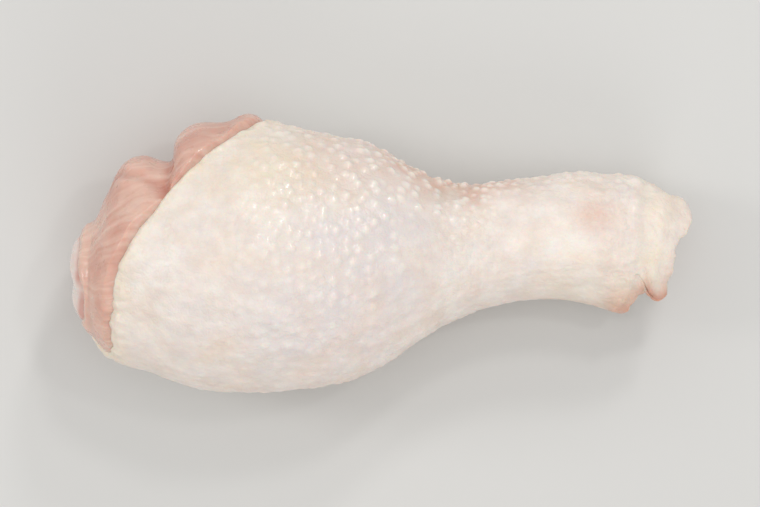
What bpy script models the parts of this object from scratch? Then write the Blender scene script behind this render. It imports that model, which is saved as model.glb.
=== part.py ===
"""Raw chicken drumstick lying on its side: the leg bone, the meat round it and the skin over the meat.

Metres, +Z up. X runs from the knee end to the ankle end, and the drumstick rests on Z = 0.
Each layer is one closed solid, lofted through rings of points, and the three nest with a small gap.
"""

import math

import bmesh
import bpy
import numpy as np

# Driving dimensions
LENGTH = 0.1325  # skinned body, from the knee end to the ankle end
BELLY_WIDTH = 0.060
BELLY_HEIGHT = 0.046
SKIN_THICKNESS = 0.0017
GAP = 0.0004  # between two nested layers

# Resolution
AROUND = 40
SKIN_RINGS_OUTSIDE, SKIN_RINGS_INSIDE = 31, 23
MEAT_RINGS_BARE, MEAT_RINGS_COVERED, CHANNEL_RINGS = 13, 21, 12
MEAT_RING_CROWDING = 1.3  # above 1, the covered rings draw closer towards the ankle
BONE_END_RINGS = 4

# The body's stations: share of LENGTH from the knee end, middle's sideways shift and width as
# shares of BELLY_WIDTH, top and underside as shares of BELLY_HEIGHT. Below 0 it is pressed flat.
STATIONS = np.array(
    [
        (0.04, -0.120, 0.89, 0.940, 0.010),
        (0.13, -0.090, 0.88, 0.960, -0.015),
        (0.22, -0.060, 0.95, 0.985, -0.028),
        (0.31, -0.043, 1.00, 1.000, -0.033),
        (0.41, -0.048, 0.94, 0.965, -0.028),
        (0.50, -0.038, 0.82, 0.890, 0.000),
        (0.58, -0.033, 0.61, 0.775, 0.045),
        (0.63, -0.020, 0.51, 0.700, 0.076),
        (0.70, 0.008, 0.465, 0.630, 0.076),
        (0.77, 0.032, 0.462, 0.600, 0.043),
        (0.83, 0.038, 0.485, 0.590, 0.005),
        (0.91, 0.010, 0.510, 0.575, -0.020),
        (1.00, -0.010, 0.480, 0.565, -0.010),
    ]
)
MIDDLE_HEIGHT = 0.46  # of the way from the underside to the top, where the body is widest
KNEE_CAP, ANKLE_CAP = 0.24, 0.10  # shares of LENGTH over which the ends round off
KNEE_CAP_POWER, ANKLE_CAP_POWER = 2.0, 2.4
ANKLE_CLOSING = 0.70  # 1 would close the ankle end to a point
ANKLE_SLANT = 0.12  # how far the ankle end leans, as a slope against Y
ANKLE_SLANT_RUN = 0.20  # share of LENGTH over which the lean comes in
# Where the ankle end reaches further: bearing, reach round, rise, sharpness. First the knob of
# the joint, then the collar beside it.
ANKLE_REACHES = (
    (math.radians(30), math.radians(53), 0.0034, 8),
    (math.radians(122), math.radians(44), 0.0020, 6),
)
ANKLE_REACH_RUN = 0.06
TOP_SQUARENESS, UNDER_SQUARENESS = 2.0, 2.3  # 2 is an ellipse
FLAT_SOFTNESS = 0.0010  # how gently the underside runs into its flat

# Broad mounds and hollows on the body: place along, angle round, reach along, reach round, rise.
# Angles run from the +Y side over the top; the last column is in metres.
MOUNDS = (
    (0.27, math.radians(95), 0.10, math.radians(38), 0.0009),
    (0.50, math.radians(150), 0.09, math.radians(30), 0.0010),
    (0.61, math.radians(70), 0.05, math.radians(40), -0.0009),
    (0.80, math.radians(110), 0.10, math.radians(30), 0.0006),
    (0.88, math.radians(-60), 0.05, math.radians(40), 0.0006),
    (0.950, math.radians(-174), 0.022, math.radians(38), -0.0018),
    (0.985, math.radians(12), 0.030, math.radians(34), 0.0012),
)

# Cut ends of the muscles round the knee, in the same terms
MUSCLES = (
    (0.232, math.radians(-8), 0.068, math.radians(46), 0.0027),
    (0.094, math.radians(14), 0.042, math.radians(40), 0.0026),
    (0.150, math.radians(0), 0.018, math.radians(50), -0.0010),
    (0.150, math.radians(-88), 0.060, math.radians(38), 0.0022),
    (0.080, math.radians(100), 0.050, math.radians(34), 0.0014),
)
BARE_SWELL = 0.0010  # how far the meat stands out of the skin's level where it is bare
SWELL_RUN = 0.020  # share of LENGTH over which it rises from under the skin
SWELL_GAP = 0.008  # share of LENGTH that it keeps clear of the skin's edge
SKIN_LIFT = 0.0007  # how far the skin's edge stands off at the knee

# The skin's edges: share of LENGTH, round the body
KNEE_EDGE_LOW, KNEE_EDGE_HIGH = 0.064, 0.305
KNEE_POINT, KNEE_POINT_BEARING, KNEE_POINT_REACH = 0.014, math.radians(-168), math.radians(14)
KNEE_EDGE_SPREAD_OVER, KNEE_EDGE_SPREAD_UNDER = math.radians(52), math.radians(62)
ANKLE_EDGE, ANKLE_EDGE_WAVE = 0.990, 0.003

# The bone's stations: share of LENGTH, half width across Y, half height across Z, in metres
BONE_STATIONS = np.array(
    [
        (0.03, 0.0114, 0.0094),
        (0.10, 0.0102, 0.0084),
        (0.20, 0.0062, 0.0056),
        (0.35, 0.0045, 0.0042),
        (0.60, 0.0040, 0.0038),
        (0.78, 0.0044, 0.0040),
        (0.88, 0.0068, 0.0058),
        (0.93, 0.0080, 0.0068),
        (0.965, 0.0071, 0.0060),
    ]
)
BONE_KNEE_Y, BONE_KNEE_Z = -0.0066, 0.0205
BONE_ANKLE_Y, BONE_ANKLE_Z = -0.0002, 0.0122
MEAT_START, MEAT_END = 0.030, 0.964  # shares of LENGTH, along both of the meat's surfaces
BONE_END = 0.972
BONE_KNEE_DOME, BONE_ANKLE_DOME = 0.0060, 0.0024  # how far the ends stand out

NORMAL_STEP = 1e-3


def smooth_between(places, values, at):
    """Cubic curve through (places, values), level with its end values outside them."""
    slopes = np.gradient(values, places)
    at = np.clip(at, places[0], places[-1])
    i = np.clip(np.searchsorted(places, at) - 1, 0, len(places) - 2)
    span = places[i + 1] - places[i]
    t = (at - places[i]) / span
    return (
        (2 * t**3 - 3 * t**2 + 1) * values[i]
        + (t**3 - 2 * t**2 + t) * span * slopes[i]
        + (3 * t**2 - 2 * t**3) * values[i + 1]
        + (t**3 - t**2) * span * slopes[i + 1]
    )


def ease(t):
    t = np.clip(t, 0, 1)
    return t * t * (3 - 2 * t)


def turned(angle):
    """The angle, wrapped to between minus and plus half a turn."""
    return (angle + math.pi) % (2 * math.pi) - math.pi


def squircle(value, squareness):
    return np.sign(value) * np.abs(value) ** (2 / squareness)


def cap_share(along):
    """How much of its full section the body has at this place: 1, and less near either end."""
    knee = np.clip(1 - along / KNEE_CAP, 0, 1)
    ankle = np.clip((along - 1 + ANKLE_CAP) / ANKLE_CAP, 0, 1)
    closing = ANKLE_CLOSING * ankle**ANKLE_CAP_POWER
    return np.sqrt(1 - knee**KNEE_CAP_POWER) * np.sqrt(1 - closing)


def bumps(table, along, angle, sharpness):
    """The sum of the mounds in a table. A sharpness of 2 makes round ones, 4 makes steep sides."""
    total = 0.0
    for place, bearing, reach_along, reach_round, rise in table:
        over = np.abs((along - place) / reach_along) ** sharpness
        round_it = (turned(angle - bearing) / reach_round) ** 2
        total = total + rise * np.exp(-over - round_it)
    return total


def pressed(height):
    """A height, with whatever is below Z = 0 pressed flat against it."""
    softened = 0.5 * (height + np.sqrt(height**2 + FLAT_SOFTNESS**2))
    return np.maximum(softened - 0.35 * FLAT_SOFTNESS, 0)


def body(along, angle):
    """Points of the whole body's surface, as if the skin covered it all."""
    along, angle = np.broadcast_arrays(along, angle)
    shift, width, top, under = (
        smooth_between(STATIONS[:, 0], STATIONS[:, k], along) for k in (1, 2, 3, 4)
    )
    top, under = top * BELLY_HEIGHT, under * BELLY_HEIGHT
    middle = under + MIDDLE_HEIGHT * (top - under)
    share = cap_share(along)
    rise = bumps(MOUNDS, along, angle, 2) * np.minimum(1, 2 * share)
    cosine, sine = np.cos(angle), np.sin(angle)
    above = sine > 0
    half_height = np.where(above, top - middle, middle - under)
    out_y = np.where(above, squircle(cosine, TOP_SQUARENESS), squircle(cosine, UNDER_SQUARENESS))
    out_z = np.where(above, squircle(sine, TOP_SQUARENESS), squircle(sine, UNDER_SQUARENESS))
    y = shift * BELLY_WIDTH + out_y * (width * BELLY_WIDTH / 2 * share + rise)
    z = middle + out_z * (half_height * share + rise)
    return np.stack([(along - 0.5) * LENGTH + lean(along, angle, y), y, pressed(z)], axis=-1)


def lean(along, angle, y):
    """How far towards the ankle a point moves, for the slanted end and for the joint's knob."""
    slant = ANKLE_SLANT * y * ease((along - 1 + ANKLE_SLANT_RUN) / ANKLE_SLANT_RUN)
    reach = 0.0
    for bearing, spread, rise, sharpness in ANKLE_REACHES:
        reach = reach + rise * np.exp(-(np.abs(turned(angle - bearing) / spread) ** sharpness))
    return slant + reach * ease((along - 1 + ANKLE_REACH_RUN) / ANKLE_REACH_RUN)


def outward(along, angle):
    """Unit normals of the body's surface."""
    step = NORMAL_STEP
    low, high = np.clip(along - step, 1e-4, 1 - 1e-4), np.clip(along + step, 1e-4, 1 - 1e-4)
    lengthwise = body(high, angle) - body(low, angle)
    crosswise = body(along, angle + step) - body(along, angle - step)
    normal = np.cross(crosswise, lengthwise)
    return normal / np.linalg.norm(normal, axis=-1, keepdims=True)


def layer(along, angle, depth):
    """The body's surface moved in by depth."""
    along, angle = np.broadcast_arrays(along, angle)
    depth = np.broadcast_to(depth, along.shape)
    points = body(along, angle) - depth[..., None] * outward(along, angle)
    points[..., 2] = np.maximum(points[..., 2], 0)
    return points


def knee_edge(angle):
    """Where the skin ends at the knee: far down the leg on the +Y side, and at the tip opposite."""
    angle = turned(angle)
    spread = np.where(angle > 0, KNEE_EDGE_SPREAD_OVER, KNEE_EDGE_SPREAD_UNDER)
    bare = np.exp(-((angle / spread) ** 2))
    point = KNEE_POINT * np.exp(-((turned(angle - KNEE_POINT_BEARING) / KNEE_POINT_REACH) ** 2))
    return KNEE_EDGE_LOW + (KNEE_EDGE_HIGH - KNEE_EDGE_LOW) * bare - point


def ankle_edge(angle):
    return ANKLE_EDGE + ANKLE_EDGE_WAVE * np.sin(3 * angle + 1.0)


def ring_angles():
    return np.arange(AROUND) * 2 * math.pi / AROUND


def skin_rings():
    """Rings from the knee edge along the outside to the ankle edge, and back along the inside."""
    angle = ring_angles()
    knee, ankle = knee_edge(angle), ankle_edge(angle)

    def rings(count, depth):
        for t in np.linspace(0, 1, count):
            along = knee + (ankle - knee) * (0.35 * t + 0.65 * math.sin(t * math.pi / 2) ** 2)
            lift = SKIN_LIFT * np.exp(-(((along - knee) / 0.03) ** 2))
            yield layer(along, angle, depth - lift)

    outside = list(rings(SKIN_RINGS_OUTSIDE, 0.0))
    inside = list(rings(SKIN_RINGS_INSIDE, SKIN_THICKNESS))
    return outside + inside[::-1]


def meat_depth(along, angle):
    """How deep the meat's surface lies under the body's: below the skin, and above it where bare."""
    bare = ease((knee_edge(angle) - SWELL_GAP - along) / SWELL_RUN)
    rise = BARE_SWELL + bumps(MUSCLES, along, angle, 4)
    covered = SKIN_THICKNESS + GAP
    return covered - bare * (covered + rise)


def bone_line(along):
    """The middle of the bone, a straight line from the knee to the ankle."""
    t = (along - MEAT_START) / (MEAT_END - MEAT_START)
    return np.stack(
        [
            (along - 0.5) * LENGTH,
            BONE_KNEE_Y + (BONE_ANKLE_Y - BONE_KNEE_Y) * t,
            BONE_KNEE_Z + (BONE_ANKLE_Z - BONE_KNEE_Z) * t,
        ],
        axis=-1,
    )


def bone_ring(along, grow=0.0, share=1.0):
    """One ring of the bone's surface, moved out by grow, at a share of its full section."""
    angle = ring_angles()
    across = smooth_between(BONE_STATIONS[:, 0], BONE_STATIONS[:, 1], along) * share + grow
    upright = smooth_between(BONE_STATIONS[:, 0], BONE_STATIONS[:, 2], along) * share + grow
    out = np.stack([0 * angle, across * np.cos(angle), upright * np.sin(angle)], axis=-1)
    return bone_line(np.full_like(angle, along)) + out


def channel_places():
    """Places of the rings that the bone and the channel round it share, closer at the two heads."""
    t = np.linspace(0, 1, CHANNEL_RINGS)
    return MEAT_START + (MEAT_END - MEAT_START) * (t - 0.07 * np.sin(2 * math.pi * t))


def meat_rings():
    """Rings from the knee along the outside to the ankle, and back along the bone's channel."""
    angle = ring_angles()
    edge = knee_edge(angle) - SWELL_GAP
    bare = [MEAT_START + (edge - MEAT_START) * t for t in np.linspace(0, 1, MEAT_RINGS_BARE)]
    shares = 1 - np.linspace(1, 0, MEAT_RINGS_COVERED) ** MEAT_RING_CROWDING
    covered = [edge + (MEAT_END - edge) * t for t in shares]
    outside = [layer(u, angle, meat_depth(u, angle)) for u in bare + covered[1:]]
    channel = [bone_ring(u, grow=GAP) for u in channel_places()]
    return outside + channel[::-1]


def bone_rings():
    """Rings of the bone from pole to pole, without the two poles."""
    turns = np.linspace(0, math.pi / 2, BONE_END_RINGS + 2)[1:-1]
    head = [end_ring(MEAT_START, -BONE_KNEE_DOME, t) for t in turns[::-1]]
    foot = [end_ring(BONE_END, BONE_ANKLE_DOME, t) for t in turns]
    return head + [bone_ring(u) for u in [*channel_places(), BONE_END]] + foot


def end_ring(along, reach, turn):
    """A ring on one of the bone's domed ends, turn radians from its widest place to the pole."""
    ring = bone_ring(along, share=math.cos(turn))
    ring[:, 0] += reach * math.sin(turn)
    return ring


def material(name, colour, roughness):
    made = bpy.data.materials.new(name)
    made.use_nodes = True
    shader = made.node_tree.nodes["Principled BSDF"]
    shader.inputs["Base Color"].default_value = (*colour, 1)
    shader.inputs["Roughness"].default_value = roughness
    shader.inputs["Metallic"].default_value = 0
    made.diffuse_color = (*colour, 1)
    return made


def loft(name, rings, surface, poles=None):
    """A closed solid through the rings. With no poles, the last ring joins the first."""
    mesh = bmesh.new()
    rows = [[mesh.verts.new(point) for point in ring] for ring in rings]
    pairs = list(zip(rows, rows[1:])) if poles else list(zip(rows, rows[1:] + rows[:1]))
    for first, second in pairs:
        for k in range(AROUND):
            n = (k + 1) % AROUND
            mesh.faces.new((first[k], second[k], second[n], first[n]))
    if poles:
        start, end = (mesh.verts.new(pole) for pole in poles)
        for k in range(AROUND):
            n = (k + 1) % AROUND
            mesh.faces.new((start, rows[0][k], rows[0][n]))
            mesh.faces.new((end, rows[-1][n], rows[-1][k]))
    bmesh.ops.recalc_face_normals(mesh, faces=mesh.faces)
    data = bpy.data.meshes.new(name)
    mesh.to_mesh(data)
    mesh.free()
    data.shade_smooth()
    data.materials.append(surface)
    made = bpy.data.objects.new(name, data)
    bpy.context.scene.collection.objects.link(made)
    return made


def make_bone():
    rings = bone_rings()
    start = bone_line(np.array(MEAT_START)) - (BONE_KNEE_DOME, 0, 0)
    end = bone_line(np.array(BONE_END)) + (BONE_ANKLE_DOME, 0, 0)
    return loft("bone", rings, material("cartilage", (0.80, 0.62, 0.50), 0.30), (start, end))


def make_meat():
    return loft("meat", meat_rings(), material("meat", (0.72, 0.40, 0.30), 0.35))


def make_skin():
    return loft("skin", skin_rings(), material("skin", (0.80, 0.70, 0.62), 0.45))


def centre_on_footprint(parts):
    """Moves the parts together so that the origin is under the middle of their box."""
    corners = np.array([corner for part in parts for corner in part.bound_box])
    middle = (corners.min(axis=0) + corners.max(axis=0)) / 2
    for part in parts:
        part.location = (-middle[0], -middle[1], 0)


def main():
    for old in list(bpy.data.objects):
        bpy.data.objects.remove(old)
    parts = [make_bone(), make_meat(), make_skin()]
    centre_on_footprint(parts)


main()
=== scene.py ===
import math

import bpy
import numpy as np
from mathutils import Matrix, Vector, noise
from mathutils.kdtree import KDTree


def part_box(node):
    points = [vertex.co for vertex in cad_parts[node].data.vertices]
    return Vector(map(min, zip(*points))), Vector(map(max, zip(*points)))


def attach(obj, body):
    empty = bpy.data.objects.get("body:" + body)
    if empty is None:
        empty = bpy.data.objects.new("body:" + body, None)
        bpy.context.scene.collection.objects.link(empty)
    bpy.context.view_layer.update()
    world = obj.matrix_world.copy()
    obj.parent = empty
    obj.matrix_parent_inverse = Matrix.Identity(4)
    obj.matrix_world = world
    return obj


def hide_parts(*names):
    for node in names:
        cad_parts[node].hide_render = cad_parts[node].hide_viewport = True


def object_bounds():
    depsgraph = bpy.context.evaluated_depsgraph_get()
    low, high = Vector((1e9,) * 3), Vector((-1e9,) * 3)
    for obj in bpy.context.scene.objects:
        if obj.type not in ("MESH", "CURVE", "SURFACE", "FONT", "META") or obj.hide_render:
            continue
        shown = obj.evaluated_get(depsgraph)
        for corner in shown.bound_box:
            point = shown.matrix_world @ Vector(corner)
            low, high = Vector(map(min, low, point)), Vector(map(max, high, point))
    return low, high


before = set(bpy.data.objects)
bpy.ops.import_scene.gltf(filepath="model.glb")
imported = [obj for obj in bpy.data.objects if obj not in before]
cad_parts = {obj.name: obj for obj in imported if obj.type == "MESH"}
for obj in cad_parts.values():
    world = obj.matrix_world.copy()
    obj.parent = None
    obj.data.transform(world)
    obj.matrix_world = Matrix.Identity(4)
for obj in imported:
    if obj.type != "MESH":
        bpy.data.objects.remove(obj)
cad_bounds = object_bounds()

MM = 0.001

# ---- the drumstick's form, as in CAD
# Places and reaches along the leg are shares of LENGTH, from 0 at the knee end to 1 at the ankle
# end. Bearings and reaches round it are in degrees, from the +Y side over the top. Lengths in this
# section are in metres.
LENGTH = 0.1325
BELLY_WIDTH = 0.060
BELLY_HEIGHT = 0.046
SKIN_THICKNESS = 0.0017
# Place, the middle's sideways shift and the width as shares of BELLY_WIDTH, top and underside as
# shares of BELLY_HEIGHT. Below 0 it is pressed flat.
STATIONS = np.array((
    (0.04, -0.120, 0.89, 0.940, 0.010),
    (0.13, -0.090, 0.88, 0.960, -0.015),
    (0.22, -0.060, 0.95, 0.985, -0.028),
    (0.31, -0.043, 1.00, 1.000, -0.033),
    (0.41, -0.048, 0.94, 0.965, -0.028),
    (0.50, -0.038, 0.82, 0.890, 0.000),
    (0.58, -0.033, 0.61, 0.775, 0.045),
    (0.63, -0.020, 0.51, 0.700, 0.076),
    (0.70, 0.008, 0.465, 0.630, 0.076),
    (0.77, 0.032, 0.462, 0.600, 0.043),
    (0.83, 0.038, 0.485, 0.590, 0.005),
    (0.91, 0.010, 0.510, 0.575, -0.020),
    (1.00, -0.010, 0.480, 0.565, -0.010),
))
MIDDLE_HEIGHT = 0.46  # of the way from the underside to the top, where the body is widest
KNEE_CAP, ANKLE_CAP = 0.24, 0.10  # where the ends round off
KNEE_CAP_POWER, ANKLE_CAP_POWER = 2.0, 2.4
ANKLE_CLOSING = 0.70  # 1 would close the ankle end to a point
ANKLE_SLANT, ANKLE_SLANT_RUN = 0.12, 0.20  # slope against Y, and where the lean comes in
# Where the ankle end reaches further: bearing, reach round, rise, sharpness
ANKLE_REACHES = ((30, 53, 0.0034, 8), (122, 44, 0.0020, 6))
ANKLE_REACH_RUN = 0.06
TOP_SQUARENESS, UNDER_SQUARENESS = 2.0, 2.3  # 2 is an ellipse
FLAT_SOFTNESS = 0.0010  # how gently the underside runs into its flat
# Broad mounds and hollows: place, bearing, reach along, reach round, rise
MOUNDS = (
    (0.27, 95, 0.10, 38, 0.0009),
    (0.50, 150, 0.09, 30, 0.0010),
    (0.61, 70, 0.05, 40, -0.0009),
    (0.80, 110, 0.10, 30, 0.0006),
    (0.88, -60, 0.05, 40, 0.0006),
    (0.950, -174, 0.022, 38, -0.0018),
    (0.985, 12, 0.030, 34, 0.0012),
)
# Cut ends of the muscles round the knee, in the same terms
MUSCLES = (
    (0.232, -8, 0.068, 46, 0.0027),
    (0.094, 14, 0.042, 40, 0.0026),
    (0.150, 0, 0.018, 50, -0.0010),
    (0.150, -88, 0.060, 38, 0.0022),
    (0.080, 100, 0.050, 34, 0.0014),
)
BARE_SWELL = 0.0010  # how far the meat stands out of the skin's level where it is bare
SKIN_LIFT = 0.0007  # how far the skin's edge stands off at the knee
KNEE_EDGE_LOW, KNEE_EDGE_HIGH = 0.064, 0.305
KNEE_POINT, KNEE_POINT_BEARING, KNEE_POINT_REACH = 0.014, -168, 14
EDGE_SPREAD_OVER, EDGE_SPREAD_UNDER = 52, 62
ANKLE_EDGE, ANKLE_EDGE_WAVE = 0.990, 0.003
# Place, half width across Y, half height across Z
BONE_STATIONS = np.array((
    (0.03, 0.0114, 0.0094),
    (0.10, 0.0102, 0.0084),
    (0.20, 0.0062, 0.0056),
    (0.35, 0.0045, 0.0042),
    (0.60, 0.0040, 0.0038),
    (0.78, 0.0044, 0.0040),
    (0.88, 0.0068, 0.0058),
    (0.93, 0.0080, 0.0068),
    (0.965, 0.0071, 0.0060),
))
BONE_KNEE_Y, BONE_KNEE_Z = -0.0066, 0.0205
BONE_ANKLE_Y, BONE_ANKLE_Z = -0.0002, 0.0122
MEAT_START, MEAT_END = 0.030, 0.964
BONE_END = 0.972
BONE_KNEE_DOME, BONE_ANKLE_DOME = 0.0060, 0.0024  # how far the bone's ends stand out
NORMAL_STEP = 1e-3

# ---- how fine the visible pieces are
SKIN_AROUND, SKIN_ROWS = ((330, 270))
SKIN_INSIDE_ROWS, RIM_ROWS = 14, 3
UNDERSIDE_SHARE = 0.55  # how close together the points are underneath, against 1 on top
NOTCH_SHARE, NOTCH_REACH = 2.0, 6  # how many more there are at the notch, and over what degrees
MEAT_AROUND, BARE_ROWS = ((320, 170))
COVERED_ROWS, SLEEVE_ROWS, FOOT_ROWS, CHANNEL_ROWS = 14, 16, 8, 16
BONE_AROUND, BONE_END_ROWS = ((200, 60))
BONE_SHAFT_ROWS = 60

# ---- details that the CAD leaves out
# From here on, heights are in millimetres unless they have MM. A ramp, such as WAIST, is where it
# starts and how far it runs. A spot is strength, place, bearing, reach along and reach round. A
# noise layer is height, size, one or for each axis, and seed.
WAIST, SHANK = (0.52, 0.16), (0.60, 0.14)
BARE_SHANK, KNUCKLE = (0.66, 0.14), (0.84, 0.06)

FOLLICLE_SEED = 7
FOLLICLE_PITCH = 2.9 * MM
FOLLICLE_RADIUS = 0.98 * MM
FOLLICLE_HEIGHT = 0.46 * MM
FOLLICLE_SPREAD = 0.38  # how far each strays from its place in the row, as a share of the pitch
FOLLICLE_LOSS = 0.13  # share of the places left empty
FOLLICLE_SIZES = (0.45, 1.25)
FOLLICLE_RADII = (0.72, 0.36)  # base and gain of the radius, against the size
FOLLICLE_STEEPNESS = 1.3
PIT_DEPTH, PIT_SHARE = 0.04, 0.30  # depth against height, width against radius
FIRST_ROW, LAST_ROW = 0.05, 0.985
ROW_PITCH, ROW_SLIP = 0.87, 0.12  # shares of the pitch
WAIST_CROWDING, WAIST_THINNING = 0.22, 0.15  # how much closer and smaller they are there
FOLLICLE_BASE, SHANK_LOSS, RIDGE_BASE = 0.26, 0.80, 0.05
FOLLICLE_SPOTS = (
    (0.95, 0.44, 62, 0.15, 48),
    (1.15, 0.62, 6, 0.13, 42),
    (0.40, 0.36, -30, 0.16, 60),
    (0.35, 0.45, -150, 0.25, 60),
    (0.30, 0.60, -90, 0.12, 60),
)
FOLLICLE_RIDGE = ((0.60, 0.80, 2, 0.18, 38),)

SLACK = (0.40, 15, 3.1)
BELLY_FOLDS = (0.27, (8, 4, 4), 11.7)
SHANK_SINEWS = (0.18, (22, 3.4, 3.4), 5.3)
KNUCKLE_CREASES = (0.30, (2.6, 7, 7), 8.9)
KNUCKLE_DIMPLES = (0.26, 2.2, 17.0)
SKIN_GRAIN = (0.05, 1.4, 1.9)

# The ankle: a rolled collar with a groove behind it, and the notch, tab, lobe and blunt corner
COLLAR_PLACE, COLLAR_TILT, COLLAR_WAVE = 0.956, 0.012, 0.006
COLLAR_BEARING, COLLAR_FACING = 112, (-0.25, 0.6)
COLLAR_FOLDS = ((-0.28, 0, 0.009), (0.40, 0.022, 0.013))  # height, how far on, reach
ANKLE_SPOTS = (
    (0.8, 0.935, 172, 0.016, 22),
    (-0.7, 0.893, 178, 0.020, 30),
    (0.3, 0.985, 30, 0.025, 30),
    (0.9, 0.928, 8, 0.026, 30),
    (1.0, 0.978, 162, 0.012, 15),
)
CREASE_DEPTHS, CREASE_WIDTHS = (0.45, 0.75), (0.005, 0.007)  # on top, and gain at the side
CREASE_LINE, CREASE_SWEEP = (0.970, 0.014), (0, 70)
CREASE_START, CREASE_END, CREASE_SIDE = (-50, 30), (84, -16), (36, -36)
CORNER_SHIFT, CORNER_SHARES = (1.2, -0.2, 0.0), (0.25, 0.75)
CORNER_RUN, CORNER_END, CORNER_PEAK = (0.966, 0.022), (75, -8), (20, 30)
NOTCH_BEARING = 114
NOTCH_SLANT, NOTCH_SLANT_REACH, NOTCH_SLANT_RUN = 44, 50, (0.944, 0.034)
NOTCH_STEP = (NOTCH_BEARING - 1, 5)
LOBE_CUT, LOBE_CUT_END = 0.037, (240, -50)
LOBE_CURVE, LOBE_BEARING, LOBE_REACH = 0.023, 177, 25
TAB_CUT, TAB_CUT_RUN = 0.007, (86, 26)
ANKLE_TEARS = ((0.0030, 0.5, 9.0), (0.0012, 0.2, 4.0))
HEM, HEM_REACH, HEM_GROOVE, HEM_FALL = 0.22, 0.006, 0.013, 0.005
HEM_PHASE, HEM_RUN = 0.4, 0.5
LAST_PLACE = 0.996

# The knee: a torn, rolled edge with a pointed corner
KNEE_TEARS = ((0.0055, 0.42, 2.0), (0.0036, 0.21, 6.0), (0.0022, 0.10, 12.0))
KNEE_BOW, BOW_BEARING, BOW_REACH = 0.007, 25, 40
CORNER_REACH, CORNER_SHARPNESS, CORNER_LENGTH = 20, 1.4, 0.024
FLAP_LIFT, FLAP_RUN, FLAP_THICKENING = 1.0 * MM, (0.068, -0.035), 0.9 * MM
ROLL_PLACE, ROLL_HEIGHT, ROLL_LUMPS = 0.009, 0.25, (0.70, 3.2, 71.0)
RIM_THICKNESS, RIM_THINNING = 1.15 * MM, 0.02
CORNER_THICKENING = ((1.5, 0.985, 25, 0.03, 42),)

# Colours of the skin, as strengths of 0 to 1
KNEE_FAT = 0.8
FAT_SPOTS = ((0.9, 0.33, 42, 0.10, 36), (0.35, 0.84, 150, 0.08, 40))
ANKLE_FAT, ANKLE_FAT_PLACE = 0.6, 0.028
SHANK_FAT, SHANK_FAT_RUN = 0.05, (0.62, 0.2)
CREASE_FAT = 0.5
# Pink spots: the skin's own blush, save three. The spot at the belly's +Y edge and the line low
# along the shank's -Y side are painted shade; the lobe beside the notch is partly its own pink and
# partly painted shade.
PINK_AND_SHADE_SPOTS = (
    (0.28, 0.55, -170, 0.30, 60),
    (0.8, 0.865, 68, 0.035, 20),
    (1.6, 0.925, 162, 0.034, 30),
    (0.5, 0.84, 176, 0.08, 12),
    (0.55, 0.395, 34, 0.06, 22),
    (0.20, 0.70, 120, 0.06, 25),
)
# A pink tint along the ankle's edge, and painted shade in pink round the notch, on the tab and the
# lobe's rim.
ANKLE_PINK, NOTCH_SHADE_SPOTS = 0.15, ((0.8, 0.97, 155, 0.08, 26),)
# Pink between the follicles at the neck's +Y edge: partly the skin's own tint, partly painted
# shade.
WAIST_PINK_AND_SHADE = ((1.4, 0.62, 14, 0.13, 30),)  # between the follicles
TOPS_PINK_LOSS = 1.0 / 1.4
# Grey tints where the muscle shows through the skin; the last spot, at the belly's +Y edge, is
# painted shade.
GREY_AND_SHADE_SPOTS = ((1.0, 0.42, 112, 0.16, 40), (0.7, 0.48, 80, 0.11, 38), (0.6, 0.39, 34, 0.06, 20))
WET_BASE, WET_SPOTS = 0.20, ((0.85, 0.47, 66, 0.22, 55),)
WET_SHANK_LOSS, WET_SHANK = 0.85, (0.62, 0.10)
KNUCKLE_WET = ((0.30, 0.925, 62, 0.045, 30),)
BLOTCH = (1, 9, 14.0)
# The torn tab and lobe beside the notch: their own raw colour, and painted shade in the groove
# between them.
RAW_TAB_REACH, RAW_TAB_END, RAW_TAB_RUN = 10, 3, (0.950, 0.014)
RAW_LOBE_AND_SHADE = ((0.60, 0.925, 166, 0.03, 24),)
# Painted shade on the skin beside the notch's groove.
NOTCH_SIDE_SHADE = ((0.7, 0.955, 130, 0.02, 16),)
RAW_RIM = ((0.8, 0.95, 205, 1.0, 24),)

# The meat's bare end: swollen ends of the muscles, with valleys and seams between them
FLESH_LOBES = (
    (0.7, 0.190, 0, 0.022, 40),
    (-1.3, 0.250, 0, 0.026, 40),
    (1.3, 0.100, 6, 0.026, 34),
    (1.0, 0.120, -62, 0.040, 24),
    (0.8, 0.100, 62, 0.040, 20),
    (0.9, 0.085, -120, 0.040, 26),
    (0.9, 0.190, -70, 0.050, 22),
)
# Place, half width, how often it waves, bearing, reach round, depth
FLESH_VALLEYS = ((0.152, 0.009, 3.0, 0, 75, 0.9), (0.068, 0.012, 2.0, -20, 60, 0.7))
# Bearing at SEAM_MIDDLE, how far it turns over that length, half width, start, end, depth
FLESH_SEAMS = (
    (46, 60, 5, 0.06, 0.15, 0.8),
    (-38, 40, 4, 0.05, 0.26, 1.0),
    (-92, -30, 4, 0.04, 0.18, 0.9),
    (-150, 30, 5, 0.03, 0.10, 0.6),
)
SEAM_MIDDLE, SEAM_OVERRUN, SEAM_FADE, SEAM_SWAY = 0.15, 0.02, 0.03, 6
VALLEY_WAVE, VALLEY_SWAY = 0.004, 0.006
FLESH_SWAY = (1, 9, 21.0)
FLESH_LUMPS = (0.35, 7, 25.0)
FLESH_FIBRES = (0.08, (8, 1.4, 1.4), 31.0)
DEEPEST_CREASE = 1.2
FLESH_START, FLESH_RUN = 0.001, -0.014  # where the relief comes in, from the skin's edge
LEVEL_START, LEVEL_RUN = 0.006, -0.018  # where the meat rises out from under the skin
CONTACT = 0.05 * MM  # how far the meat reaches into the skin, so that no gap shows
ANKLE_RECESS = ((2.2, 0.972, 160, 0.022, 42),)
SINKING, SINKING_RUN = 0.25 * MM, (0.93, 0.03)
SEAM_UNDER_SKIN, MEAT_LAST, CHANNEL_GROWTH = 0.012, 0.975, -0.2 * MM
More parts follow.
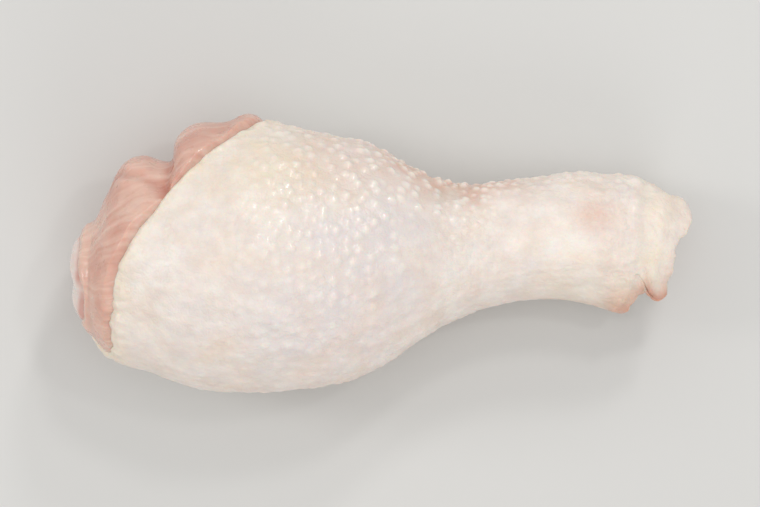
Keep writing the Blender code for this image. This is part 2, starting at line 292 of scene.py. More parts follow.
SLEEVE_SWELL, SLEEVE_LIP = 0.35 * MM, 0.45 * MM
SLEEVE_RISE, SLEEVE_SINK, SLEEVE_SINK_RUN = 0.8, 0.25 * MM, (0.9, 1)
HEAD_TURN, HEAD_UNEVENNESS = math.radians(30), (math.radians(20), 0.9, 41.0)
FOOT_TURN, FOOT_UNEVENNESS = math.radians(20), (math.radians(8), 0.4, 47.0)
KNOTS, KNOT_WANDER, KNOT_NOISE = 7, 1.3, (0.3, 0.3, 52.0)
FOOT_SWELLS, FOOT_SINK, FOOT_SINK_RUN = (0.5, 0.9), 0.3 * MM, (0.8, 1)
SINEW_SPOTS = ((0.45, 0.115, 30, 0.03, 22),)
SINEW_KNEE, SINEW_KNEE_REACH, SINEW_ANKLE = 0.3, 0.02, (0.9, 0.04)
# Painted shade on the meat, in deep red: between the flaps at the knee, in the recess at the
# ankle's notch, and on the sinew ends at the ankle, most in the hollow under the notch.
CREASE_SHADE_SPOTS = ((0.22, 0.213, 24, 0.035, 22),)
RECESS_SHADE = ((1.6, 0.972, 160, 0.03, 42),)
FOOT_SHADE, HOLLOW_BEARING, HOLLOW_REACH = 0.6, 145, 45
FLOW_SWAY = (0.05, 6, 33.0)
FLOW_SIZE, FLOW_ROUND = 9 * MM, 22  # the fibres' length, and how many lie side by side

# The bone's ends
HEAD_FULLNESS = 0.9
CONDYLE_AXIS = (0.8, 0.6)
CONDYLE_GROOVE, GROOVE_WIDTH, GROOVE_LENGTH = -0.9, 2.6, 8
CONDYLES, CONDYLE_PLACE, CONDYLE_WIDTH = 0.7, 4.6, 2.8
HEAD_LUMPS = (0.30, 5, 61.0)
PULLEY_PLACE, PULLEY_GROOVE, PULLEY_WIDTH = -0.4, -1.1, 1.7
PULLEY_RIDGES, RIDGE_PLACE, RIDGE_WIDTH = 0.5, 3.6, 1.6
FOOT_LUMPS = (0.12, 3, 67.0)
BONE_RIM_TURN, BONE_RIM_REACH = math.radians(30), math.radians(13)

# ---- the scene round the part
FLOOR_HALF, FLOOR_ROUGHNESS = 3.0, 0.8
WORLD_STRENGTH = 0.59
LENS = 150
FRAME_SHARE = 0.82  # how much of the picture's width the part takes
FOCUS_HEIGHT = 0.6  # of the part's height, where that share holds
AIM = (0, 0, 0.02)
# Name, place, what it points at, size, power
LIGHTS = (
    ("key", (0.26, 0.70, 0.58), AIM, (0.12, 0.12), 1.1),
    ("sparkle", (0.22, 0.48, 0.70), AIM, (0.11, 0.11), 0.8),
    ("crest_sparkle", (0.34, 0.20, 0.75), AIM, (0.07, 0.07), 0.38),
    ("overhead", (0.1, -0.1, 1.3), (0, 0, 0), (1.2, 1.2), 3.0),
    ("knee_side", (-0.70, 0.15, 0.42), (-0.05, 0, 0.02), (0.22, 0.22), 1.2),
    ("low_fill", (0.3, -0.9, 0.5), AIM, (0.8, 0.5), 2.0),
)


# ---- curves and angles
def smooth_between(table, at):
    """Cubic curves through a table's further columns against its first, level outside it."""
    places = table[:, 0]
    at = np.clip(at, places[0], places[-1])
    i = np.clip(np.searchsorted(places, at) - 1, 0, len(places) - 2)
    span = places[i + 1] - places[i]
    t = (at - places[i]) / span
    for values in table.T[1:]:
        slopes = np.gradient(values, places)
        yield (
            (2 * t**3 - 3 * t**2 + 1) * values[i]
            + (t**3 - 2 * t**2 + t) * span * slopes[i]
            + (3 * t**2 - 2 * t**3) * values[i + 1]
            + (t**3 - t**2) * span * slopes[i + 1]
        )


def ease(t):
    t = np.clip(t, 0, 1)
    return t * t * (3 - 2 * t)


def ramp(value, start, run):
    """0 up to start and 1 from start + run on. With a run below 0 it falls from 1 to 0."""
    return ease((value - start) / run)


def gained(base, gain, share):
    """A number that grows from base by gain as share goes from 0 to 1."""
    return base + gain * share


def hill(off, reach):
    """1 where off is 0, and about a third where it is as large as reach."""
    return np.exp(-((off / reach) ** 2))


def turned(angle):
    """The angle, wrapped to between minus and plus half a turn."""
    return (angle + math.pi) % math.tau - math.pi


def degrees_from(angle, bearing=0):
    """How many degrees the angle is past a bearing, between minus and plus half a turn."""
    return np.degrees(turned(angle - math.radians(bearing)))


def off_bearing(angle, bearing, reach):
    """How far the angle is past a bearing, where reach counts as 1."""
    return turned(angle - math.radians(bearing)) / math.radians(reach)


# ---- the plain form
def squircle(value, squareness):
    return np.sign(value) * np.abs(value) ** (2 / squareness)


def cap_share(along):
    """The body's share of its full section at this place: 1, and less near either end."""
    knee = np.clip(1 - along / KNEE_CAP, 0, 1)
    ankle = np.clip((along - 1 + ANKLE_CAP) / ANKLE_CAP, 0, 1)
    closing = ANKLE_CLOSING * ankle**ANKLE_CAP_POWER
    return np.sqrt(1 - knee**KNEE_CAP_POWER) * np.sqrt(1 - closing)


def bumps(table, along, angle, sharpness):
    """The sum of the mounds in a table. A sharpness of 2 makes round ones, 4 makes steep sides."""
    total = 0.0
    for place, bearing, reach_along, reach_round, rise in table:
        over = np.abs((along - place) / reach_along) ** sharpness
        total = total + rise * np.exp(-over - off_bearing(angle, bearing, reach_round) ** 2)
    return total


def pressed(height):
    """A height, with whatever is below Z = 0 pressed flat against it."""
    softened = 0.5 * (height + np.sqrt(height**2 + FLAT_SOFTNESS**2))
    return np.maximum(softened - 0.35 * FLAT_SOFTNESS, 0)


def body(along, angle):
    """Points of the whole body's surface, as if the skin covered it all."""
    along, angle = np.broadcast_arrays(along, angle)
    shift, width, top, under = smooth_between(STATIONS, along)
    top, under = top * BELLY_HEIGHT, under * BELLY_HEIGHT
    middle = under + MIDDLE_HEIGHT * (top - under)
    share = cap_share(along)
    rise = bumps(MOUNDS, along, angle, 2) * np.minimum(1, 2 * share)
    cosine, sine = np.cos(angle), np.sin(angle)
    above = sine > 0
    half_height = np.where(above, top - middle, middle - under)
    out_y, out_z = (
        np.where(above, squircle(part, TOP_SQUARENESS), squircle(part, UNDER_SQUARENESS))
        for part in (cosine, sine)
    )
    y = shift * BELLY_WIDTH + out_y * (width * BELLY_WIDTH / 2 * share + rise)
    z = middle + out_z * (half_height * share + rise)
    return np.stack([(along - 0.5) * LENGTH + lean(along, angle, y), y, pressed(z)], axis=-1)


def lean(along, angle, y):
    """How far towards the ankle a point moves, for the slanted end and where it reaches on."""
    slant = ANKLE_SLANT * y * ease((along - 1 + ANKLE_SLANT_RUN) / ANKLE_SLANT_RUN)
    reach = 0.0
    for bearing, spread, rise, sharpness in ANKLE_REACHES:
        reach = reach + rise * np.exp(-(np.abs(off_bearing(angle, bearing, spread)) ** sharpness))
    return slant + reach * ease((along - 1 + ANKLE_REACH_RUN) / ANKLE_REACH_RUN)


def outward(along, angle):
    """Unit normals of the body's surface."""
    low, high = (np.clip(along + s, 1e-4, 1 - 1e-4) for s in (-NORMAL_STEP, NORMAL_STEP))
    lengthwise = body(high, angle) - body(low, angle)
    crosswise = body(along, angle + NORMAL_STEP) - body(along, angle - NORMAL_STEP)
    return unit(np.cross(crosswise, lengthwise))


def unit(vectors):
    return vectors / np.linalg.norm(vectors, axis=-1, keepdims=True)


def above_floor(points):
    points[..., 2] = np.maximum(points[..., 2], 0)
    return points


def knee_edge(angle):
    """Where the skin ends at the knee: far down the leg on the +Y side, and at the tip opposite."""
    spread = np.where(turned(angle) > 0, EDGE_SPREAD_OVER, EDGE_SPREAD_UNDER)
    bare = hill(turned(angle), np.radians(spread))
    point = KNEE_POINT * hill(off_bearing(angle, KNEE_POINT_BEARING, KNEE_POINT_REACH), 1)
    return KNEE_EDGE_LOW + (KNEE_EDGE_HIGH - KNEE_EDGE_LOW) * bare - point


def ankle_edge(angle):
    return ANKLE_EDGE + ANKLE_EDGE_WAVE * np.sin(3 * angle + 1.0)


def bone_line(along):
    """A point of the bone's middle, which is a straight line from the knee to the ankle."""
    t = (along - MEAT_START) / (MEAT_END - MEAT_START)
    y = BONE_KNEE_Y + (BONE_ANKLE_Y - BONE_KNEE_Y) * t
    return np.array([(along - 0.5) * LENGTH, y, BONE_KNEE_Z + (BONE_ANKLE_Z - BONE_KNEE_Z) * t])


# ---- spots and noise
def region(along, angle, place, bearing, reach_along, reach_round):
    """1 at a place on the body, falling away round it."""
    over = (along - place) / reach_along
    return np.exp(-(over**2) - off_bearing(angle, bearing, reach_round) ** 2)


def spots(table, along, angle, start=0.0):
    """The sum of a table's spots, added to start."""
    total = start
    for strength, *where in table:
        total = total + strength * region(along, angle, *where)
    return total


def rough(points, layer):
    """A layer of smooth noise at each point."""
    height, size, seed = layer
    flat = (points / np.multiply(size, MM)).reshape(-1, 3) + seed
    values = [noise.fractal(p, 0.6, 2.0, 2) for p in flat.tolist()]
    return height * np.array(values).reshape(points.shape[:-1])


def ragged(angle, height, size, seed):
    """Noise round a ring, the same at both ends of the turn. size is against the ring's radius."""
    circle = np.stack([np.cos(angle), np.sin(angle), 0 * angle], axis=-1) * MM
    return rough(circle, (height, size, seed))


def torn(angle, tears):
    """How far a torn edge strays, from its layers of unevenness."""
    return sum(ragged(angle, *tear) for tear in tears)


# ---- follicles
def ring_spacing(along):
    """Angles round the body at this place, and how far round it each of them is."""
    fine = np.linspace(0, math.tau, 721)
    points = body(along, fine)
    steps = np.linalg.norm(np.diff(points, axis=0), axis=1)
    return fine, np.concatenate([[0], np.cumsum(steps)])


def follicle_tree():
    """The feather follicles: places in slanting, uneven rows, each with a size of its own."""
    rng = np.random.default_rng(FOLLICLE_SEED)
    places = []
    along, offset = FIRST_ROW, 0.0
    while along < LAST_ROW:
        fine, run = ring_spacing(along)
        pitch = FOLLICLE_PITCH * (1 - WAIST_CROWDING * ramp(along, *WAIST))
        count = int(round(run[-1] / pitch))
        at = np.arange(count) + offset + rng.uniform(-FOLLICLE_SPREAD, FOLLICLE_SPREAD, count)
        angle = np.interp((at % count) / count * run[-1], run, fine)
        slip = rng.uniform(-0.9, 0.9, count) * FOLLICLE_SPREAD * pitch / LENGTH
        size = rng.uniform(*FOLLICLE_SIZES, count) * (rng.uniform(size=count) > FOLLICLE_LOSS)
        places.append(np.column_stack([along + slip, angle, size]))
        along += ROW_PITCH * pitch / LENGTH
        offset += 0.5 + rng.uniform(-ROW_SLIP, ROW_SLIP)
    places = np.concatenate(places)
    points = body(places[:, 0], places[:, 1])
    tree = KDTree(len(points))
    for k, point in enumerate(points.tolist()):
        tree.insert(point, k)
    tree.balance()
    return tree, places


def follicle_strength(along, angle):
    """How raised the follicles are: most on the upper belly and where it narrows to the shank."""
    strength = spots(FOLLICLE_SPOTS, along, angle, FOLLICLE_BASE)
    shank = ramp(along, *BARE_SHANK)
    ridge = spots(FOLLICLE_RIDGE, along, angle, RIDGE_BASE)
    return strength * (1 - SHANK_LOSS * shank) + ridge * shank


def follicle_field(points, along, angle):
    """Height of the follicles at each point, and a mask that is 1 on a follicle's top."""
    tree, places = follicle_tree()
    found = [tree.find(p)[1:] for p in points.reshape(-1, 3).tolist()]
    index, away = (np.array(part).reshape(along.shape) for part in zip(*found))
    size = places[index, 2]
    radius = FOLLICLE_RADIUS * gained(*FOLLICLE_RADII, size)
    radius = radius * (1 - WAIST_THINNING * ramp(along, *WAIST))
    strength = follicle_strength(along, angle) * size
    dome = np.exp(-((away / radius) ** 3) * FOLLICLE_STEEPNESS)
    pit = PIT_DEPTH * hill(away, PIT_SHARE * radius)
    return FOLLICLE_HEIGHT * strength * (dome - pit), dome * np.clip(strength, 0, 1.2)


# ---- the skin's relief
def skin_relief(points, along, angle):
    """How far the skin stands off the plain form: slack folds, wrinkles and follicles."""
    shank, knuckle = ramp(along, *SHANK), ramp(along, *KNUCKLE)
    folded = rough(points, SLACK) + (1 - shank) * rough(points, BELLY_FOLDS)
    folded = folded + shank * rough(points, SHANK_SINEWS)
    folded = folded + knuckle * (rough(points, KNUCKLE_CREASES) + rough(points, KNUCKLE_DIMPLES))
    folded = folded + ankle_relief(along, angle) + rough(points, SKIN_GRAIN)
    tops, mask = follicle_field(points, along, angle)
    return MM * folded + tops, mask


def ankle_relief(along, angle):
    """The collar at the ankle, the slack lobe beside the notch, and the groove beside the blunt
    corner.
    """
    facing = ramp(np.cos(angle - math.radians(COLLAR_BEARING)), *COLLAR_FACING)
    place = COLLAR_PLACE - COLLAR_TILT * np.sin(angle) + COLLAR_WAVE * np.sin(5 * angle)
    folds = sum(height * hill(along - place - on, reach) for height, on, reach in COLLAR_FOLDS)
    return facing * folds + spots(ANKLE_SPOTS, along, angle) - corner_crease(along, angle)


def corner_crease(along, angle):
    """The groove that parts the blunt corner from the collar: deep at the side, fine on top."""
    degrees = degrees_from(angle)
    side = ramp(degrees, *CREASE_SIDE)
    line = gained(*CREASE_LINE, ramp(degrees, *CREASE_SWEEP))
    depth = gained(*CREASE_DEPTHS, side)
    depth = depth * ramp(degrees, *CREASE_START) * ramp(degrees, *CREASE_END)
    return depth * hill(along - line, gained(*CREASE_WIDTHS, side))


def corner_shift(along, angle):
    """How far the blunt corner at the ankle's far side stands out, endways and sideways."""
    degrees = degrees_from(angle)
    share = ramp(degrees, *CORNER_END) * gained(*CORNER_SHARES, ramp(degrees, *CORNER_PEAK))
    share = share * ramp(along, *CORNER_RUN)
    return MM * share[..., None] * np.array(CORNER_SHIFT)


def slewed(along, angle):
    """The angle, turned on near the ankle, round the notch, so that the notch slants."""
    turn = math.radians(NOTCH_SLANT) * ramp(along, *NOTCH_SLANT_RUN)
    return angle + turn * hill(degrees_from(angle, NOTCH_BEARING), NOTCH_SLANT_REACH)


# ---- the skin's edges
def ankle_rim(angle):
    """Where the skin ends at the ankle: uneven, and cut back beyond a sharp notch."""
    degrees = degrees_from(angle, 180) + 180
    beyond = ramp(degrees, *NOTCH_STEP)
    cut_back = LOBE_CUT * beyond * ramp(degrees, *LOBE_CUT_END)
    cut_back = cut_back + LOBE_CURVE * hill(degrees - LOBE_BEARING, LOBE_REACH)
    cut_back = cut_back + TAB_CUT * ramp(degrees, *TAB_CUT_RUN) * (1 - beyond)
    return ankle_edge(angle) - cut_back + torn(angle, ANKLE_TEARS)


def knee_rim(angle):
    """Where the skin ends at the knee, with a torn, uneven edge."""
    bow = KNEE_BOW * hill(degrees_from(angle) - BOW_BEARING, BOW_REACH)
    edge = knee_edge(angle) + bow + torn(angle, KNEE_TEARS)
    edge = np.maximum(edge, KNEE_EDGE_LOW - KNEE_POINT)
    return edge - CORNER_LENGTH * knee_corner(angle)


def rims(angle):
    return knee_rim(angle), np.minimum(ankle_rim(angle), LAST_PLACE)


def knee_corner(angle):
    """1 at the pointed corner of the skin's edge, low on the knee's side, falling to 0 round it."""
    off = np.abs(degrees_from(angle, KNEE_POINT_BEARING) / CORNER_REACH)
    return np.exp(-(off**CORNER_SHARPNESS))


def rounded_rim(outer, inner, away):
    """Rows that join two rings round the outside of an edge. away points out of the sheet."""
    middle, half = (outer + inner) / 2, (outer - inner) / 2
    reach = np.linalg.norm(half, axis=-1, keepdims=True)
    turns = np.linspace(0, math.pi, RIM_ROWS + 2)[1:-1]
    return [middle + half * math.cos(t) + away * reach * math.sin(t) for t in turns]


def rim_way(edge, behind, normal):
    """The way out of the sheet at its edge, square to the edge. behind is a row inside it."""
    run = np.roll(edge, -1, axis=0) - np.roll(edge, 1, axis=0)
    way = unit(np.cross(run, normal))
    way *= np.sign(np.sum(way * (edge - behind)))
    for _ in range(3):
        way = unit(way + np.roll(way, 1, axis=0) + np.roll(way, -1, axis=0))
    return way


def skin_lift(along, knee):
    """How far the skin's edge at the knee stands up off the plain form."""
    return SKIN_LIFT * hill(along - knee, 0.03)


def flap_lift(along, angle):
    """How far the pointed corner stands off the flesh under it."""
    return FLAP_LIFT * knee_corner(angle) * ramp(along, *FLAP_RUN)


def skin_thickness(along, knee, ankle, angle):
    at_rims = np.clip(hill(along - knee, RIM_THINNING) + hill(ankle - along, RIM_THINNING), 0, 1)
    rim = RIM_THICKNESS + FLAP_THICKENING * knee_corner(angle)
    corner = MM * spots(CORNER_THICKENING, along, angle)
    return SKIN_THICKNESS + (rim - SKIN_THICKNESS) * at_rims + corner


# ---- skin
def skin_angles():
    """Angles round the body, closer together on top and at the notch than underneath."""
    fine = np.linspace(0, math.tau, 2881)
    above = ramp(np.sin(fine), -0.75, 0.5)
    density = UNDERSIDE_SHARE + (1 - UNDERSIDE_SHARE) * above
    density = density + NOTCH_SHARE * hill(np.degrees(fine) - NOTCH_BEARING, NOTCH_REACH)
    run = np.concatenate([[0], np.cumsum((density[1:] + density[:-1]) / 2)])
    return np.interp(np.arange(SKIN_AROUND) / SKIN_AROUND * run[-1], run, fine)


def rim_relief(plain, along, angle, knee, ankle):
    """The rolled edge at the knee and the hem at the ankle."""
    roll = hill(along - knee - ROLL_PLACE, ROLL_PLACE) * (ROLL_HEIGHT + rough(plain, ROLL_LUMPS))
    hem = hill(ankle - along, HEM_REACH) - hill(ankle - along - HEM_GROOVE, HEM_FALL)
    return MM * (roll + HEM * hem * ease(np.sin(angle - HEM_PHASE) / HEM_RUN))


def skin_mesh():
    """Rings from the knee's edge along the outside to the ankle's, and back along the inside."""
    angle = skin_angles()
    knee, ankle = rims(angle)

    def surface(along, depth, relief):
        rise = skin_lift(along, knee) + flap_lift(along, angle) - depth + relief
        around = slewed(along, angle)
        points = body(along, around) + rise[..., None] * outward(along, around)
        return above_floor(points + corner_shift(along, around))

    along = knee + (ankle - knee) * np.linspace(0, 1, SKIN_ROWS)[:, None]
    around = slewed(along, angle)
    plain = body(along, around)
    relief, tops = skin_relief(plain, along, around)
    relief *= ease(plain[..., 2] / (1.2 * MM))
    relief *= 1 - 0.5 * hill(along - knee, 0.012)
    relief += rim_relief(plain, along, angle, knee, ankle)
    outer = surface(along, 0.0, relief)

    from_middle = np.linspace(-1, 1, SKIN_INSIDE_ROWS)[:, None]
    crowded = np.sign(from_middle) * (1 - (1 - np.abs(from_middle)) ** 2)
    inside = knee + (ankle - knee) * (0.5 + 0.5 * crowded)
    edge_relief = np.zeros_like(inside)
    edge_relief[0], edge_relief[-1] = relief[0], relief[-1]
    inner = surface(inside, skin_thickness(inside, knee, ankle, angle), edge_relief)

    knee_way = rim_way(outer[0], outer[2], outward(along[0], around[0]))
    ankle_way = rim_way(outer[-1], outer[-3], outward(along[-1], around[-1]))
    ankle_end = rounded_rim(outer[-1], inner[-1], ankle_way)
    knee_end = rounded_rim(inner[0], outer[0], knee_way)
    rows = [*outer, *ankle_end, *inner[::-1], *knee_end]

    masks = skin_masks(along, around, knee, ankle, tops, plain)
    masks["raw"] = raw_and_shade_mask(along, angle, around, ankle)
    at = np.arange(len(rows) - SKIN_ROWS)
    share = ramp(at, 1, RIM_ROWS) * ramp(at, SKIN_INSIDE_ROWS, -9)
    share = share[:, None] + 0 * angle
    made = {
        name: np.concatenate([values, at_rim + (within - at_rim) * share])
        for name, (values, at_rim, within) in masks.items()
    }
    made["raw"][-SKIN_INSIDE_ROWS:] = 0
    return np.array(rows), made


def skin_masks(along, angle, knee, ankle, tops, plain):
    """Where the skin is fatty, pinkish, greyish or wet, from 0 to 1. The pinkish and greyish masks
    hold the skin's own tints, and painted shade at some spots.

    Each comes with its value at the rims and its value on the inner side at the ankle.
    """
    fat = spots(FAT_SPOTS, along, angle, KNEE_FAT * hill(along - knee, 0.022))
    fat = fat + ANKLE_FAT * hill(ankle - ANKLE_FAT_PLACE - along, 0.02)
    fat = fat + SHANK_FAT * ramp(along, *SHANK_FAT_RUN) + CREASE_FAT * corner_crease(along, angle)
    # Pink tint: the skin's own, with painted shade at some spots of the table.
    pink = spots(PINK_AND_SHADE_SPOTS, along, angle)
    at_edge = hill(ankle - along, 0.010)
    # Along the ankle's edge: a pink tint of its own, and painted shade round the notch.
    pink = pink + at_edge * spots(NOTCH_SHADE_SPOTS, along, angle, ANKLE_PINK)
    between = 1 - TOPS_PINK_LOSS * np.clip(tops, 0, 1)
    # Between the follicles at the neck: pink tint and painted shade.
    pink = pink + between * spots(WAIST_PINK_AND_SHADE, along, angle)
    wet = spots(WET_SPOTS, along, angle, WET_BASE)
    wet = wet * (1 - WET_SHANK_LOSS * ramp(along, *WET_SHANK))
    wet = spots(KNUCKLE_WET, along, angle, wet)
    # Grey tint, with painted shade at the belly's +Y edge.
    grey = spots(GREY_AND_SHADE_SPOTS, along, angle)
    blotch = rough(plain, BLOTCH)
    return {
        "tops": (tops, 0.0, 0.0),
        "fat": (np.clip(fat + 0.25 * blotch, 0, 1), 0.9, 0.0),
        "pink": (np.clip(pink + 0.22 * blotch, 0, 1), 0.1, 1.0),
        "grey": (np.clip(grey - 0.25 * blotch, 0, 1), 0.0, 0.0),
        "wet": (np.clip(wet, 0, 1), 0.3, 0.6),
    }


def raw_tab(along, angle):
    """1 at the edge of the tab beside the notch, where it is torn and shows its inner side; the
    band is partly painted shade in the groove there.
    """
    off = degrees_from(angle, NOTCH_BEARING)
    return hill(off + 1, RAW_TAB_REACH) * (off < RAW_TAB_END) * ramp(along, *RAW_TAB_RUN)


def raw_and_shade_mask(along, angle, around, ankle):
    """Where the skin shows torn tissue, with painted shade beside the notch's groove and on the
    lobe, in the same terms as skin_masks. around is the slewed angle.
    """
    raw = spots(RAW_LOBE_AND_SHADE, along, around, raw_tab(along, angle))
    # Painted shade beside the notch's groove.
    raw = raw + hill(ankle - along, 0.006) * spots(NOTCH_SIDE_SHADE, along, around)
    return np.clip(raw, 0, 1), spots(RAW_RIM, ankle, angle, raw_tab(ankle, angle)), 0.5


# ---- meat
def meat_relief(points, along, angle, bare):
    """Swollen muscle ends with valleys and seams between them, and the fibres along them. The mask
    it gives is 1 in the deepest valleys and seams, for painted shade there.
    """
    degrees = degrees_from(angle)
    rise = spots(FLESH_LOBES, along, angle)
    sway = rough(points, FLESH_SWAY)
    creases = 0.0
    for place, half_width, wave, bearing, reach_round, depth in FLESH_VALLEYS:
        line = place + VALLEY_WAVE * np.sin(np.radians(degrees) * wave) + VALLEY_SWAY * sway
        across = hill(along - line, half_width)
        creases = creases + depth * across * np.exp(-(((degrees - bearing) / reach_round) ** 4))
    for bearing, slope, half_width, start, end, depth in FLESH_SEAMS:
        line = bearing + slope * (along - SEAM_MIDDLE) / SEAM_MIDDLE + SEAM_SWAY * sway
        off = (degrees - line + 180) % 360 - 180
        inside = ramp(along, start - SEAM_OVERRUN, SEAM_FADE)
        inside = inside * ramp(along, end + SEAM_OVERRUN, -SEAM_FADE)
        creases = creases + depth * hill(off, half_width) * inside
    uneven = rough(points, FLESH_LUMPS) + rough(points, FLESH_FIBRES)
    return MM * bare * (rise + uneven - creases), np.clip(creases / DEEPEST_CREASE, 0, 1)


def hugging_depth(along, angle, knee, ankle):
    """Depth of the meat: against the skin's inner side, then out level with the skin."""
    bare = ramp(along, knee + LEVEL_START, LEVEL_RUN)
    rise = BARE_SWELL + bumps(MUSCLES, along, angle, 4)
    covered = skin_thickness(along, knee, ankle, angle) - skin_lift(along, knee) - CONTACT
    recess = MM * spots(ANKLE_RECESS, along, angle)
    recess = recess + SINKING * ramp(along, *SINKING_RUN)
    return covered - bare * (covered + rise) + recess


def sleeve(outer, contact, outer_way, contact_way):
    """Rows from a ring of meat up onto the bone it holds, ending in a soft raised lip."""
    made = []
    for s in np.linspace(0, 1, SLEEVE_ROWS + 1)[1:]:
        way = unit(outer_way * (1 - s) + contact_way * s)
        swell = SLEEVE_SWELL * math.sin(math.pi * s) ** 2 + SLEEVE_LIP * ease(s / SLEEVE_RISE)
        sink = (SLEEVE_LIP + SLEEVE_SINK) * np.interp(s, SLEEVE_SINK_RUN, (0, 1))
        made.append(outer * (1 - s) + contact * s + way * (swell - sink))
    return made


def ankle_flesh(outer, contact, angle):
    """The ends of the sinews round the bone at the ankle."""
    knots = 0.5 + 0.5 * np.sin(KNOTS * angle + KNOT_WANDER * np.sin(2 * angle))
    knots = knots + ragged(angle, *KNOT_NOISE)
    made = []
    for s in np.linspace(0, 1, FOOT_ROWS + 1)[1:]:
        swell = gained(*FOOT_SWELLS, knots)[:, None] * MM * math.sin(math.pi * s) ** 0.7
        swell = swell - FOOT_SINK * np.interp(s, FOOT_SINK_RUN, (0, 1))
        made.append(outer * (1 - s) + contact * s + swell * np.array([1.0, 0, 0]))
    return made


def meat_mesh():
    """Rings along the outside from knee to ankle, onto the bone, and back along its channel."""
    angle = np.arange(MEAT_AROUND) * math.tau / MEAT_AROUND
    knee, ankle = rims(angle)
    seam = knee + SEAM_UNDER_SKIN
    bare_rows = MEAT_START + (seam - MEAT_START) * np.linspace(0, 1, BARE_ROWS)[:, None]
    t = np.linspace(0, 1, COVERED_ROWS + 1)[1:, None]
    along = np.concatenate([bare_rows, seam + (MEAT_LAST - seam) * t])
    plain = body(along, angle)
    bare = ramp(along, knee + FLESH_START, FLESH_RUN)
    relief, crease = meat_relief(plain, along, angle, bare)
    rise = relief - hugging_depth(along, angle, knee, ankle)
    points = above_floor(plain + rise[..., None] * outward(along, angle))

    turn = HEAD_TURN + ragged(angle, *HEAD_UNEVENNESS)
    head_ring, head_way = bone_dome(MEAT_START, -BONE_KNEE_DOME, head_relief, turn, angle)
    knee_sleeve = sleeve(points[0], head_ring, outward(along[0], angle), head_way)
    turn = FOOT_TURN + ragged(angle, *FOOT_UNEVENNESS)
    foot_ring, _ = bone_dome(BONE_END, BONE_ANKLE_DOME, foot_relief, turn, angle)
    foot_sleeve = ankle_flesh(points[-1], foot_ring, angle)
    places = np.linspace(BONE_END, MEAT_START, CHANNEL_ROWS)
    channel = [bone_ring(place, angle, CHANNEL_GROWTH) for place in places]
    rows = np.array([*points, *foot_sleeve, *channel, *knee_sleeve[::-1]])

    lip = np.linspace(1, 0, SLEEVE_ROWS + 1)[:-1, None] + 0 * angle
    foot = np.ones((FOOT_ROWS, MEAT_AROUND))
    # Painted shade in deep red: in the muscle valleys and seams, in the recess at the notch, and on
    # the sinew ends at the ankle, most in the hollow; there and in the recess the sinews' paler
    # tint is taken off.
    hollow_shade = foot * hill(degrees_from(angle, HOLLOW_BEARING), HOLLOW_REACH)
    blank = np.zeros((CHANNEL_ROWS, MEAT_AROUND))
    recess = spots(RECESS_SHADE, along, angle)
    crease = np.clip(spots(CREASE_SHADE_SPOTS, along, angle, crease) + recess, 0, 1)
    sinew = SINEW_KNEE * hill(along - MEAT_START, SINEW_KNEE_REACH) + ramp(along, *SINEW_ANKLE)
    sinew = np.clip(spots(SINEW_SPOTS, along, angle, sinew - recess), 0, 1)
    foot_shade = FOOT_SHADE + (1 - FOOT_SHADE) * hollow_shade
    place = np.concatenate([along, foot, blank, MEAT_START * (1 - lip)])
    sway = rough(rows, FLOW_SWAY)
    masks = {
        "crease": np.concatenate([crease, foot_shade, blank, 0 * lip]),
        "sinew": np.concatenate([sinew, 1 - hollow_shade, blank, 0.3 + 0.7 * lip]),
        "flow_x": place * LENGTH / FLOW_SIZE,
        "flow_y": FLOW_ROUND * np.cos(angle + sway),
        "flow_z": FLOW_ROUND * np.sin(angle + sway),
    }
    return rows, masks


# ---- bone
def bone_ring(along, angle, grow=0.0, share=1.0):
    """One ring of the bone's surface, moved out by grow, at a share of its full section."""
    across, upright = (half * share + grow for half in smooth_between(BONE_STATIONS, along))
    out = np.stack([0 * angle, across * np.cos(angle), upright * np.sin(angle)], axis=-1)
    return bone_line(along) + out


def bone_dome(along, reach, relief, turn, angle):
    """A ring on the rounded end of the bone, and the way out from the surface there."""
    ring = bone_ring(along, angle, share=np.cos(turn) ** HEAD_FULLNESS)
    ring[:, 0] += reach * np.sin(turn)
    way = unit(ring - bone_line(along) + np.array([reach, 0, 0]) * 0.5)
    fading = ease(np.sin(turn) / 0.5)
    return ring + way * (relief(ring) * fading)[:, None], way


def head_relief(points):
    """The two low condyles of the knee's joint face, with a soft groove between them."""
    off = (points - bone_line(MEAT_START)) / MM
    across = off[..., 1] * CONDYLE_AXIS[0] + off[..., 2] * CONDYLE_AXIS[1]
    groove = CONDYLE_GROOVE * hill(across, GROOVE_WIDTH)
    groove = groove * hill(off[..., 2], GROOVE_LENGTH)
    condyles = CONDYLES * hill(np.abs(across) - CONDYLE_PLACE, CONDYLE_WIDTH)
    return MM * (groove + condyles + rough(points, HEAD_LUMPS))


def foot_relief(points):
    """The pulley of the ankle's joint face: a deep groove between two rounded ridges."""
    off = (points - bone_line(BONE_END))[..., 1] / MM - PULLEY_PLACE
    groove = PULLEY_GROOVE * hill(off, PULLEY_WIDTH)
    ridges = PULLEY_RIDGES * hill(np.abs(off) - RIDGE_PLACE, RIDGE_WIDTH)
    return MM * (groove + ridges + rough(points, FOOT_LUMPS))


